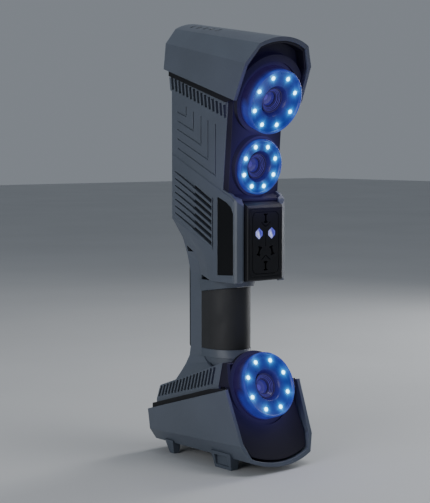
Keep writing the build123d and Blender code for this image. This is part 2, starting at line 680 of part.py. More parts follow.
def grip_collar(z0, half0, depth0, z1, half1, depth1):
    """A flared ring between the grip and the body above or below."""
    rear = HANDLE_FRONT - FIT
    faces = [Plane.XY.offset(z) * grip_outline(half, depth) for z, half, depth in
             ((z0, half0, depth0), (z1, half1, depth1))]
    ring = loft([faces[0].face(), faces[1].face()], ruled=True)
    inner = extrude(Plane.XY.offset(z0 - 1) * grip_outline(14.8, 18.7), z1 - z0 + 2)
    return ring - inner - block(-14.8, 14.8, -1, rear + 1, z0 - 1, z1 + 1)


def grip_top_collar():
    collar = grip_collar(122.0, 17.2, 21.1, 136.7, 19.6, 26.5)
    return collar - side_prism([(20, 125.8), (-40, 134.56), (-40, 100), (20, 100)], -30, 30)


def grip_bottom_collar():
    camera = CAMERAS["lower"]
    collar = grip_collar(78.2, 18.0, 24.6, 84.3, 17.4, 21.4) + grip_collar(66.0, 16.9, 23.0, 78.5, 16.9, 23.0)
    collar -= side_prism([(-60, deck_top(-60) + 0.1), (20, deck_top(20) + 0.1), (20, 0), (-60, 0)], -40, 40)
    collar -= tube(camera, camera["barrel"] + FIT, 0, flange_back(camera) - 0.2, 5)
    return collar - tube(camera, camera["rim"] - 5.0, 0, -40, 5)


def spine_outline():
    return [(23.95, 84.0), (25.0, 78.6), (27.4, 79.6), (31.0, 84.5), (SPINE_REAR, 91.0), (SPINE_REAR, 140.0),
            (31.2, 147.5), (28.8, 153.4), (26.8, 155.6), (26.1, 155.2), (23.95, 142.4)]


def rear_panel():
    """Dark spine on the back of the handle, hollow behind the buttons."""
    spine = side_prism(spine_outline(), -SPINE_HALF, SPINE_HALF)
    spine = chamfer(spine.faces().sort_by(Axis.Y)[-1].edges().filter_by(Axis.Z), 2.4)
    spine -= block(-8.3, 8.3, 20, SPINE_REAR - 2.2, 90.5, 141.5)
    for _, z, radius in BUTTONS:
        spine -= Pos(0, 30, z) * Rot(90, 0, 0) * Cylinder(radius + BUTTON_GAP, 20)
    return spine


def rear_button(z, radius):
    """A domed cap with a flange that keeps it behind the panel."""
    cap = Pos(0, 31.0, z) * Rot(90, 0, 0) * Cylinder(radius, 4.6)
    cap = fillet(cap.edges().sort_by(Axis.Y)[-1], 0.6)
    return cap + Pos(0, 28.6, z) * Rot(90, 0, 0) * Cylinder(radius + 0.9, 1.2)


def button_board():
    board = block(-7.8, 7.8, 24.4, 26.0, 91.5, 140.5)
    return board + [block(-2.5, 2.5, 26.0, 27.1, z - 2.5, z + 2.5) for _, z, _ in BUTTONS]


# ---------------------------------------------------------------- inner parts

def camera_chassis():
    """The stiff bar that ties the three cameras and the projector together through the handle."""
    plate = block(-11.5, 11.5, 0, 3, 38, 292) + block(-16, 16, 0, 3, 150, 288) + block(-22, 22, 0, 3, 20, 60)
    ribs = [block(x - 1, x + 1, 3, 8.5, 64, 150) for x in (-9, 9)]
    plate += ribs
    plate += [block(x - 2, x + 2, -19.9, 0, z - 2.6, z + 2.6) for x, z in bracket_places()]
    return plate - [block(-4, 4, -1, 4, z, z + 16) for z in (96, 118, 166, 242)]


def main_board():
    """Processor board behind the chassis, with its larger chips."""
    board = block(-19, 19, 6.5, 8.1, 178, 276)
    board += [block(-8, 8, 8.1, 10.4, 204, 220), block(-8, 2, 8.1, 10.0, 232, 246)]
    board += [block(6, 16, 8.1, 11.5, 180, 186), block(-17, -6, 8.1, 12.5, 264, 270)]
    return board + [block(x - 2, x + 2, 3.05, 6.5, z - 2, z + 2) for x in (-14, 14) for z in (184, 272)]


def heat_sink():
    base = block(-14, 14, 10.5, 12.5, 196, 230)
    return base + [block(-14 + 4.5 * i, -12.8 + 4.5 * i, 12.5, 19.5, 196, 230) for i in range(7)]


def fan_plane(y):
    return Plane(origin=(0, y, FAN_Z), x_dir=(1, 0, 0), z_dir=(0, 1, 0))


def fan_disc(radius, depth, y):
    return fan_plane(y) * Cylinder(radius, depth, align=(Align.CENTER, Align.CENTER, Align.MIN))


def fan_frame():
    """Square frame with a bearing seat held on four spokes."""
    frame = block(-FAN_HALF, FAN_HALF, FAN_FRONT, FAN_FRONT + FAN_DEPTH, FAN_Z - FAN_HALF, FAN_Z + FAN_HALF)
    frame -= fan_disc(FAN_BORE, FAN_DEPTH + 2, FAN_FRONT - 1)
    rear = FAN_FRONT + FAN_DEPTH
    frame += fan_disc(8.0, 1.6, rear - 1.6) + fan_disc(3.0, 4.0, rear - 5.6)
    for turn in (45, 135):
        frame += Pos(0, rear - 0.8, FAN_Z) * Rot(0, turn, 0) * Box(2 * FAN_BORE + 1, 1.6, 2.4)
    frame -= fan_disc(SHAFT_RADIUS + SHAFT_FIT, 8, rear - 6.2)
    holes = [(x, z) for x in (-16.5, 16.5) for z in (-16.5, 16.5)]
    return frame - [Pos(x, FAN_FRONT + 5, FAN_Z + z) * Rot(90, 0, 0) * Cylinder(1.6, 20) for x, z in holes]


def fan_rotor():
    """Hub, shaft and seven pitched blades in one moulding."""
    rear = FAN_FRONT + FAN_DEPTH
    hub = fan_disc(9.0, rear - 6.2 - FAN_FRONT - 0.6, FAN_FRONT + 0.4)
    hub += fan_disc(SHAFT_RADIUS, 5.6, rear - 6.4)
    ring = fan_disc(FAN_BORE - 0.7, 6.0, FAN_FRONT + 0.6) - fan_disc(8.5, 8, FAN_FRONT)
    blades = []
    for i in range(7):
        blade = Rot(0, 360 / 7 * i, 0) * Pos(13, 0, 0) * Rot(38, 0, 0) * Box(14, 1.2, 11)
        blades.append(Pos(0, FAN_FRONT + 3.6, FAN_Z) * blade & ring)
    return hub - fan_disc(3.4, 3.0, rear - 6.2 - 2.0) + fan_disc(SHAFT_RADIUS, 8.0, rear - 8.8) + blades


def power_board():
    """Connector and power board on the rear face of the lower chassis."""
    board = block(-21, 21, 6.5, 8.1, 20, 46) + block(-16, -4, 8.1, 15, 30, 42) + block(6, 14, 8.1, 13, 22, 30)
    return board + [block(x - 2, x + 2, 3.05, 6.5, z - 2, z + 2) for x in (-18, 18) for z in (24, 42)]


def handle_harness():
    """Ribbon of wires from the power board up through the handle to the main board."""
    path = [(3.5, 10.3, 46.3), (3.5, 10.3, 60), (3.5, 14.0, 74), (3.5, 14.0, 152), (3.5, 13.2, 172)]
    line = FilletPolyline(*path, radius=18)
    return sweep(Plane(line @ 0, z_dir=line % 0) * Circle(1.8), path=line)


def cable_socket():
    """Round locking socket let into the rear wall of the lower hood."""
    rear = LOW_REAR_Y
    body = Pos(0, rear - 6.0, SOCKET_Z) * Rot(90, 0, 0) * Cylinder(SOCKET_RADIUS, 12.0)
    nut = Pos(0, rear - 7.0, SOCKET_Z) * Rot(90, 0, 0) * extrude(RegularPolygon(9.2, 6), 3.0, both=True)
    nut &= Pos(0, rear - 7.2, SOCKET_Z) * Box(40, 3.4, 40)
    bore = Pos(0, rear - SOCKET_DEPTH / 2, SOCKET_Z) * Rot(90, 0, 0) * Cylinder(SOCKET_BORE, SOCKET_DEPTH)
    well = Pos(0, rear - PIN_WELL_DEPTH / 2, SOCKET_Z) * Rot(90, 0, 0) * Cylinder(PIN_WELL_RADIUS, PIN_WELL_DEPTH)
    return body + nut - bore - well


def socket_pins():
    pins = []
    for i in range(6):
        place = Pos(0, LOW_REAR_Y - 7.7, SOCKET_Z) * Rot(0, 60 * i, 0) * Pos(2.6, 0, 0)
        pins.append(place * Rot(90, 0, 0) * Cylinder(0.45, 2.4))
    return Part() + pins


def foot_pair(rear_y, front_y, inner, outer, height):
    """Two moulded feet under the chamfers of the lower hood; a long foot has a recessed outer face."""
    middle = (rear_y + front_y) / 2
    spread = (rear_y - front_y) / 2
    low = [(outer - 2.0, front_y + 2.2, 0), (outer - 2.0, rear_y - 2.0, 0), (inner, rear_y - 2.0, 0),
           (inner, front_y + 2.2, 0)]
    high = [(outer + 1.2, front_y, height), (outer + 1.2, rear_y, height), (inner, rear_y, height),
            (inner, front_y, height)]
    body = loft([section([Vector(p) for p in low]), section([Vector(p) for p in high])], ruled=True)
    recess = Pos(outer - 0.3, middle + 0.3, height * 0.5) * Box(5.0, 2 * spread - 8.0, height * 0.58)
    if spread > 8:
        body -= recess
    body -= low_hood_solid(-0.02, LOW_REAR_Y + 20, -30, 30)
    return Part() + [body, mirror(body, Plane.YZ)]


def case_screws():
    """Countersunk screws in the rear walls of the hoods."""
    screws = []
    for x, y, z in hood_screws():
        head = Pos(x, y - 1.05, z) * Rot(90, 0, 0) * Cylinder(2.2, 1.5)
        drive = Pos(x, y, z) * Rot(90, 0, 0) * extrude(RegularPolygon(1.25, 6), 0.9, both=True)
        screws.append(head - drive)
    return Part() + screws


def main():
    os.makedirs("parts", exist_ok=True)
    whole = clamshell()
    parts = {
        "top_hood": top_hood(),
        "top_liner": top_liner(),
        "lower_hood": lower_hood(),
        "lower_liner": lower_liner(),
        "left_shell": shell_half(-1, whole),
        "right_shell": shell_half(1, whole),
        "left_label_panel": label_panel(-1),
        "right_label_panel": label_panel(1),
        "upper_front_housing": upper_front_housing(),
        "upper_baffle": upper_baffle(),
        "lower_fascia": lower_fascia(),
        "lower_front_housing": lower_front_housing(),
        "projector_housing": projector_housing(),
        "projector_face": projector_face(),
        "projector_lenses": projector_lenses(),
        "projector_windows": projector_windows(),
        "laser_emitters": laser_emitters(),
        "laser_bracket": laser_bracket(),
        "grip_sleeve": grip_sleeve(),
        "grip_top_collar": grip_top_collar(),
        "grip_bottom_collar": grip_bottom_collar() - whole,
        "rear_panel": rear_panel(),
        "button_board": button_board(),
        "camera_chassis": camera_chassis(),
        "main_board": main_board(),
        "heat_sink": heat_sink(),
        "fan_frame": fan_frame(),
        "fan_rotor": fan_rotor(),
        "power_board": power_board(),
        "handle_harness": handle_harness(),
        "cable_socket": cable_socket(),
        "socket_pins": socket_pins(),
        "case_screws": case_screws(),
    }
    for name, camera in CAMERAS.items():
        parts[f"{name}_camera_barrel"] = camera_barrel(camera)
        parts[f"{name}_light_cover"] = light_cover(camera)
        parts[f"{name}_led_board"] = led_board(camera)
        parts[f"{name}_leds"] = led_group(camera)
        parts[f"{name}_lens_barrel"] = lens_barrel(camera)
        parts[f"{name}_lens_glass"] = lens_glass(camera)
        parts[f"{name}_camera_body"] = camera_body(camera)
    for name, z, radius in BUTTONS:
        parts[name] = rear_button(z, radius)
    parts["front_feet"] = foot_pair(-20.2, -42.5, 22.5, 31.0, 13.0)
    parts["rear_feet"] = foot_pair(36.5, 27.0, 22.0, 29.0, 11.0)
    for name, shape in parts.items():
        export_step(Pos(0, SHIFT_Y, 0) * shape, f"parts/{name}.step")


main()
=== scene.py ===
import bpy
import bmesh
import json
import math
from mathutils import Matrix, Vector


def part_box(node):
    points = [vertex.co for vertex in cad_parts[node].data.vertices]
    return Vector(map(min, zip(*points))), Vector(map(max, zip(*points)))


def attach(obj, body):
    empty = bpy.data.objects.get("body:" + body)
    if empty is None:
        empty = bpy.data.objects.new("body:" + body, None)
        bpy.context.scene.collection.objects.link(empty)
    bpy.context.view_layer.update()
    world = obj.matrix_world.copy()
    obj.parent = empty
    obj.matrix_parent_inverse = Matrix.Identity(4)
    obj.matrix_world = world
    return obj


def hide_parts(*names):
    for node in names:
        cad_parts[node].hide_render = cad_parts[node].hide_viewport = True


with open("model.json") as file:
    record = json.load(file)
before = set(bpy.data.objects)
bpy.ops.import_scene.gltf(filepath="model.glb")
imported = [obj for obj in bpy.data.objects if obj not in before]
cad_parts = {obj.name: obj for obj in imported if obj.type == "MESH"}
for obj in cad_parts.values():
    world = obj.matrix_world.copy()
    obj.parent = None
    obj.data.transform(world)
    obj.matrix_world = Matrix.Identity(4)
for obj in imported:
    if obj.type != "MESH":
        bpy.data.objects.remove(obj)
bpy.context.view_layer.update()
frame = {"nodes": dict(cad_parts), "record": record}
NODES = frame["nodes"]
MM = 0.001
CAMERAS = ("top", "middle", "lower")

# View of the studio camera: turn round the object, height angle, lens and place
VIEW_AZIMUTH = math.radians(-40.28)
VIEW_HEIGHT = math.radians(4.64)
LENS_MM = 94.2
CAMERA_PLACE = Vector((-0.6494, -0.7470, 0.2377))

# Light rings: how far the face stands in front of the middle of the LED board. Other heights count from the
# face. The sections are in mm: inward from the rim or outward from the axis, and then height
RING_FACE_HEIGHT = 4.2 * MM
CUP_DEPTH = {"top": 11.1 * MM, "middle": 9.0 * MM, "lower": 11.9 * MM}
NECK_RADIUS = 9.8 * MM
RIM_SECTION = [(0.0, 1.2), (0.15, 1.55), (0.5, 1.7), (1.0, 1.6), (1.35, 1.2), (1.5, 0.3), (1.8, 0.0)]
WELL_SECTION = [(12.5, 0.0), (12.0, -0.2), (11.3, -1.4), (9.9, -4.9)]
RING_SEGMENTS = 160

# Glow of the light rings
RING_STRENGTH = 0.6
HALO_REACH = 1.9 * MM
RAY_WIDTH = 0.4 * MM
RAY_LENGTH = 3.0 * MM
SPILL_REACH = 7.5 * MM
SPILL_COLOUR = (0.16, 0.13, 0.62, 1.0)

# LED domes: radius of the CAD seats, and a dome's section in mm of radius and height
LED_COUNT = 8
LED_SEAT_RADIUS = 2.2 * MM
DOME_SECTION = [(0.0, 0.75), (0.5, 0.72), (0.95, 0.6), (1.3, 0.4), (1.5, 0.12), (1.55, -0.1), (1.75, -0.12),
                (1.75, -2.4), (0.0, -2.4)]
DOME_SEGMENTS = 20

# Rings in the mouth of each lens, in mm: the first one's radius and height, each with the step to the next,
# and the section
LENS_RING_COUNT = 4
LENS_RING_RADIUS, LENS_RING_INSET = 8.9, 0.75
LENS_RING_HEIGHT, LENS_RING_DROP = -3.4, 0.8
LENS_RING_SECTION = [(0.0, 0.0), (-0.12, 0.12), (-0.3, 0.0), (-0.2, -0.5), (-0.05, -0.5)]
LENS_RING_SEGMENTS = 96

# Lit diamonds of the projector: how far each one's middle is from the centre plane
DIAMOND_OFFSET = 6.2 * MM

# Painted shade in the vent slots, as near-black sheets behind them: distance from the centre plane, then
# corners (y, z), in mm. Their y counts from the grip's axis, where the shells' rear edge is at SHELL_REAR
SHELL_REAR = 48.2 * MM
SHADE_SHEET_THICKNESS = 0.4 * MM
SHADE_SHEETS = {
    "upper": (21.6, [(-27.5, 256.0), (30.5, 276.5), (30.5, 288.0), (-27.5, 268.5)]),
    "middle": (21.9, [(-14.8, 160.5), (9.5, 173.0), (9.5, 211.5), (-14.8, 199.5)]),
    "lower": (23.5, [(-17.5, 62.0), (44.0, 44.5), (44.0, 50.0), (-17.5, 72.0)]),
}

# Studio
FLOOR_SIZE = 6.0
RING_LAMP_WATTS = {"top": 0.012, "middle": 0.009, "lower": 0.012}
RING_LAMP_HEIGHT = 22.0 * MM
RING_LAMP_RADIUS = 12.0 * MM


# ---------------------------------------------------------------- small helpers

def centre(node):
    low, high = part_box(node)
    return (low + high) / 2


def half_width(node):
    low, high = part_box(node)
    return (high.x - low.x) / 2


def link(obj):
    bpy.context.scene.collection.objects.link(obj)
    return obj


def new_piece(name, bm, material, matrix=None, sharp=35.0):
    """A mesh piece from a bmesh, smooth except at sharp angles, riding on the housing."""
    mesh = bpy.data.meshes.new(name)
    bm.to_mesh(mesh)
    bm.free()
    for polygon in mesh.polygons:
        polygon.use_smooth = True
    mesh.set_sharp_from_angle(angle=math.radians(sharp))
    mesh.materials.append(material)
    obj = link(bpy.data.objects.new(name, mesh))
    if matrix is not None:
        obj.matrix_world = matrix
    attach(obj, "housing")
    return obj


def optical_frame(name):
    """Matrix of one camera: origin on its light ring's face, local +Z along the view, local X along X."""
    board = centre(f"{name}_led_board")
    axis = (board - centre(f"{name}_lens_barrel")).normalized()
    origin = board + axis * RING_FACE_HEIGHT
    side = Vector((1, 0, 0))
    return Matrix.Translation(origin) @ Matrix((side, axis.cross(side), axis)).transposed().to_4x4()


# ---------------------------------------------------------------- materials

class Nodes:
    """Short names for building one material's node tree."""

    def __init__(self, name):
        self.material = bpy.data.materials.new(name)
        self.material.use_nodes = True
        self.tree = self.material.node_tree
        self.shader = self.tree.nodes["Principled BSDF"]

    def add(self, kind):
        return self.tree.nodes.new("ShaderNode" + kind)

    def join(self, a, b):
        self.tree.links.new(a, b)

    def feed(self, name, value):
        """Join a value to a socket of the shader."""
        self.join(value, self.shader.inputs[name])

    def fix(self, name, value):
        """Give a socket of the shader one value all over."""
        self.shader.inputs[name].default_value = value

    def math(self, operation, a, b=None):
        node = self.add("Math")
        node.operation = operation
        for socket, value in zip(node.inputs, (a, b)):
            if value is None:
                continue
            if isinstance(value, (int, float)):
                socket.default_value = value
            else:
                self.join(value, socket)
        return node.outputs[0]

    def plus(self, a, b):
        return self.math("ADD", a, b)

    def minus(self, a, b):
        return self.math("SUBTRACT", a, b)

    def times(self, a, b):
        return self.math("MULTIPLY", a, b)

    def absolute(self, a):
        return self.math("ABSOLUTE", a)

    def length(self, a, b):
        return self.math("SQRT", self.plus(self.times(a, a), self.times(b, b)))

    def fade(self, distance, reach):
        """1 at no distance, falling to 1/e at the reach."""
        return self.math("EXPONENT", self.times(distance, -1 / reach))

    def ramp(self, value, low, high, out_low=0.0, out_high=1.0):
        """Straight from out_low at low to out_high at high, and held beyond them."""
        node = self.add("MapRange")
        self.join(value, node.inputs["Value"])
        node.inputs["From Min"].default_value = low
        node.inputs["From Max"].default_value = high
        node.inputs["To Min"].default_value = out_low
        node.inputs["To Max"].default_value = out_high
        return node.outputs["Result"]

    def place(self):
        """Coordinates in the object's own frame."""
        return self.add("TexCoord").outputs["Object"]

    def split(self, vector):
        parts = self.add("SeparateXYZ")
        self.join(vector, parts.inputs[0])
        return parts.outputs

    def noise(self, scale, detail=3.0, roughness=0.55):
        node = self.add("TexNoise")
        node.inputs["Scale"].default_value = scale
        node.inputs["Detail"].default_value = detail
        node.inputs["Roughness"].default_value = roughness
        self.join(self.place(), node.inputs["Vector"])
        return node.outputs["Fac"]

    def blend(self, factor, a, b):
        """Colour a where the factor is 0, colour b where it is 1."""
        node = self.add("Mix")
        node.data_type = "RGBA"
        self.join(factor, node.inputs["Factor"])
        for socket, value in ((node.inputs["A"], a), (node.inputs["B"], b)):
            if isinstance(value, tuple):
                socket.default_value = (*value, 1.0)
            else:
                self.join(value, socket)
        return node.outputs["Result"]

    def rounded_normal(self, radius, samples):
        node = self.add("Bevel")
        node.inputs["Radius"].default_value = radius
        node.samples = samples
        return node.outputs["Normal"]

    def bump(self, height, strength, distance, rounding=0.0):
        node = self.add("Bump")
        if rounding > 0:
            self.join(self.rounded_normal(rounding, samples=6), node.inputs["Normal"])
        node.inputs["Strength"].default_value = strength
        node.inputs["Distance"].default_value = distance
        self.join(height, node.inputs["Height"])
        return node.outputs["Normal"]


def tint(colour, factor):
    return tuple(min(1.0, c * factor) for c in colour)


def edge_mask(kit, radius):
    """Bright along edges, from how far a rounded normal turns from the true one."""
    turned = kit.add("VectorMath")
    turned.operation = "DOT_PRODUCT"
    kit.join(kit.rounded_normal(radius, samples=4), turned.inputs[0])
    kit.join(kit.add("NewGeometry").outputs["Normal"], turned.inputs[1])
    return kit.ramp(turned.outputs["Value"], 0.97, 0.75)


def ring_spill(kit, strength):
    """Violet-blue light of the rings on the surfaces close round them, fading with distance from each rim."""
    coords = kit.place()
    total = 0.0
    for name in CAMERAS:
        away = kit.add("VectorMath")
        away.operation = "DISTANCE"
        away.inputs[1].default_value = optical_frame(name).translation
        kit.join(coords, away.inputs[0])
        past_rim = kit.minus(away.outputs["Value"], half_width(f"{name}_light_cover"))
        total = kit.plus(kit.fade(kit.math("MAXIMUM", past_rim, 0.0), SPILL_REACH), total)
    _, normal_y, _ = kit.split(kit.add("NewGeometry").outputs["Normal"])
    facing_front = kit.ramp(normal_y, 0.35, -0.55)
    kit.feed("Emission Strength", kit.times(kit.times(total, facing_front), strength))
    kit.fix("Emission Color", SPILL_COLOUR)


def moulded(name, colour, roughness, grain=5200.0, depth=0.02 * MM, mottle=0.07, wear=0.0, metallic=0.0,
            rounding=0.6 * MM, spill=0.0, shine=0.5):
    """Moulded plastic or painted metal: fine grain, slight colour drift, uneven gloss and rubbed edges."""
    kit = Nodes(name)
    drift = kit.ramp(kit.noise(28.0, 4.0), 0.3, 0.7)
    speck = kit.ramp(kit.noise(900.0, 2.0), 0.35, 0.75)
    base = kit.blend(drift, tint(colour, 1 - mottle), tint(colour, 1 + mottle))
    base = kit.blend(kit.times(speck, 0.18), base, tint(colour, 1.35))
    if wear > 0:
        rub = kit.times(edge_mask(kit, 0.6 * MM), kit.ramp(kit.noise(140.0), 0.4, 0.62))
        base = kit.blend(kit.times(rub, wear), base, tint(colour, 2.6))
    kit.feed("Base Color", base)
    kit.feed("Roughness", kit.ramp(kit.noise(60.0, 5.0), 0.25, 0.75, roughness - 0.05, roughness + 0.06))
    kit.feed("Normal", kit.bump(kit.noise(grain, 2.0, 0.6), 0.35, depth, rounding))
    kit.fix("Metallic", metallic)
    kit.fix("Specular IOR Level", shine)
    if spill > 0:
        ring_spill(kit, spill)
    return kit.material


def rubber(name, colour, roughness):
    """Soft-touch rubber with a fine dot pattern and a faint sheen."""
    kit = Nodes(name)
    dots = kit.add("TexVoronoi")
    dots.inputs["Scale"].default_value = 900.0
    dots.inputs["Randomness"].default_value = 0.25
    kit.join(kit.place(), dots.inputs["Vector"])
    height = kit.ramp(dots.outputs["Distance"], 0.15, 0.55)
    drift = kit.ramp(kit.noise(40.0, 4.0), 0.3, 0.7)
    base = kit.blend(drift, tint(colour, 0.85), tint(colour, 1.2))
    base = kit.blend(kit.times(height, 0.3), base, tint(colour, 0.55))
    kit.feed("Base Color", base)
    kit.feed("Roughness", kit.ramp(kit.noise(70.0, 4.0), 0.3, 0.7, roughness - 0.05, roughness + 0.07))
    kit.feed("Normal", kit.bump(height, 0.3, 0.06 * MM))
    kit.fix("Sheen Weight", 0.12)
    return kit.material


def polished(name, colour, roughness, coat, glow=None, strength=0.0):
    """Smooth glossy surface with faint smudges in its gloss, and with a glow where one is given, which is
    painted light.
    """
    kit = Nodes(name)
    smudge = kit.ramp(kit.noise(90.0, 5.0), 0.35, 0.7)
    kit.feed("Base Color", kit.blend(smudge, tint(colour, 0.88), tint(colour, 1.12)))
    kit.feed("Roughness", kit.ramp(smudge, 0.0, 1.0, roughness, roughness + 0.06))
    kit.fix("Coat Weight", coat)
    # Painted light: an even emission on a part that is no lamp
    if glow:
        kit.fix("Emission Color", (*glow, 1.0))
        kit.fix("Emission Strength", strength)
    return kit.material


def brushed(name, colour, roughness, scale=(1.0, 1.0, 40.0)):
    """Metal with fine drawn lines, running across the axis that is scaled most."""
    kit = Nodes(name)
    mapping = kit.add("Mapping")
    mapping.inputs["Scale"].default_value = scale
    lines = kit.add("TexNoise")
    lines.inputs["Scale"].default_value = 400.0
    kit.join(kit.place(), mapping.inputs["Vector"])
    kit.join(mapping.outputs["Vector"], lines.inputs["Vector"])
    streak = kit.ramp(lines.outputs["Fac"], 0.3, 0.7)
    kit.feed("Base Color", kit.blend(streak, tint(colour, 0.85), tint(colour, 1.1)))
    kit.feed("Roughness", kit.ramp(streak, 0.0, 1.0, roughness - 0.06, roughness + 0.1))
    kit.feed("Normal", kit.bump(lines.outputs["Fac"], 0.2, 0.02 * MM))
    kit.fix("Metallic", 1.0)
    return kit.material


def circuit_board(name):
    """Green solder mask with a brick pattern of tracks."""
    kit = Nodes(name)
    tracks = kit.add("TexBrick")
    tracks.inputs["Scale"].default_value = 260.0
    tracks.inputs["Mortar Size"].default_value = 0.03
    tracks.inputs["Color1"].default_value = (0.008, 0.07, 0.035, 1)
    tracks.inputs["Color2"].default_value = (0.006, 0.055, 0.03, 1)
    tracks.inputs["Mortar"].default_value = (0.03, 0.16, 0.06, 1)
    kit.join(kit.place(), tracks.inputs["Vector"])
    kit.feed("Base Color", tracks.outputs["Color"])
    kit.feed("Normal", kit.bump(tracks.outputs["Fac"], 0.3, 0.03 * MM))
    kit.fix("Roughness", 0.35)
    return kit.material


def led_glow(kit, x, y, radius, led_circle):
    """Halo round each LED and a cross of short rays, by folding the ring onto one of its eight parts."""
    step = 2 * math.pi / LED_COUNT
    turn = kit.plus(kit.math("ARCTAN2", y, x), LED_COUNT / 2 * step)
    local = kit.minus(kit.math("MODULO", turn, step), step / 2)
    across = kit.times(radius, kit.math("SINE", local))
    along = kit.minus(kit.times(radius, kit.math("COSINE", local)), led_circle)
    halo = kit.fade(kit.length(across, along), HALO_REACH)
    across, along = kit.absolute(across), kit.absolute(along)
    ray_out = kit.times(kit.fade(across, RAY_WIDTH), kit.fade(along, RAY_LENGTH))
    ray_round = kit.times(kit.fade(along, RAY_WIDTH), kit.fade(across, RAY_LENGTH))
    return kit.plus(kit.times(halo, 1.8), kit.times(kit.plus(ray_out, ray_round), 0.45))


def ring_light(name, led_circle, rim_radius):
    """Blue light guide: brightest round each LED, paler at the rim, its outside fading to the back."""
    kit = Nodes(name)
    x, y, z = kit.split(kit.place())
    radius = kit.length(x, y)
    on_face = kit.ramp(z, -1.5 * MM, -0.2 * MM)
    glow = kit.times(led_glow(kit, x, y, radius, led_circle), on_face)
    cloud = kit.ramp(kit.noise(120.0), 0.3, 0.7, 0.8, 1.2)

    outward = kit.ramp(radius, 10.5 * MM, 16.5 * MM)
    near_rim = kit.ramp(radius, rim_radius - 1.6 * MM, rim_radius - 0.6 * MM)
    on_side = kit.ramp(radius, rim_radius - 0.4 * MM, rim_radius - 0.1 * MM)
    near_front = kit.ramp(z, -7.5 * MM, 0.5 * MM)
    near_front = kit.times(near_front, kit.times(near_front, near_front))
    under = kit.times(kit.ramp(y, 1.0 * MM, -6.0 * MM), kit.ramp(z, -9.5 * MM, -6.0 * MM))
    lit = kit.math("MAXIMUM", near_front, kit.times(under, 0.85))

    face = kit.blend(outward, (0.024, 0.018, 0.16), (0.01, 0.032, 0.34))
    face = kit.blend(kit.times(near_rim, 0.5), face, (0.07, 0.09, 0.55))
    side = kit.blend(lit, (0.02, 0.012, 0.075), (0.03, 0.045, 0.42))
    colour = kit.blend(kit.math("MINIMUM", glow, 1.0), kit.blend(on_side, face, side), (0.04, 0.45, 1.0))
    kit.feed("Emission Color", colour)
    kit.feed("Emission Strength", kit.times(cloud, kit.plus(kit.times(glow, 1.2), RING_STRENGTH)))
    kit.feed("Base Color", kit.blend(lit, (0.008, 0.006, 0.02), (0.006, 0.012, 0.08)))
    kit.feed("Roughness", kit.ramp(kit.noise(200.0, 4.0), 0.3, 0.7, 0.24, 0.36))
    kit.fix("Specular IOR Level", 0.35)
    return kit.material


def lit_dome(name):
    """LED dome: white-hot where it faces the view, cyan towards its outline."""
    kit = Nodes(name)
    facing = kit.add("LayerWeight")
    facing.inputs["Blend"].default_value = 0.45
    colour = kit.blend(facing.outputs["Facing"], (0.5, 0.95, 1.0), (0.08, 0.6, 1.0))
    kit.feed("Emission Color", colour)
    kit.feed("Emission Strength", kit.ramp(kit.noise(700.0), 0.2, 0.8, 5.0, 6.5))
    kit.feed("Base Color", colour)
    return kit.material


def laser_lens(name):
    """Lit bevelled lens: a bright patch at one side of a violet-blue middle, and even facets round it."""
    kit = Nodes(name)
    x, _, z = kit.split(kit.place())
    across = kit.minus(x, kit.times(kit.math("SIGN", x), DIAMOND_OFFSET))
    along = kit.minus(z, centre("projector_lenses").z)
    facet = kit.ramp(kit.plus(kit.absolute(across), kit.times(kit.absolute(along), 0.6)), 1.9 * MM, 2.2 * MM)
    bright = kit.ramp(kit.plus(across, kit.times(along, 0.35)), 0.4 * MM, -1.2 * MM)
    veil = kit.ramp(kit.noise(700.0), 0.35, 0.65, 0.8, 1.0)
    colour = kit.blend(kit.times(bright, veil), (0.05, 0.055, 0.42), (0.62, 0.68, 1.0))
    colour = kit.blend(kit.times(facet, 0.6), colour, (0.14, 0.15, 0.62))
    kit.feed("Emission Color", colour)
    kit.feed("Base Color", kit.blend(bright, (0.03, 0.03, 0.15), (0.2, 0.2, 0.4)))
    kit.feed("Emission Strength", kit.ramp(veil, 0.8, 1.0, 0.8, 1.1))
    kit.fix("Roughness", 0.08)
    return kit.material


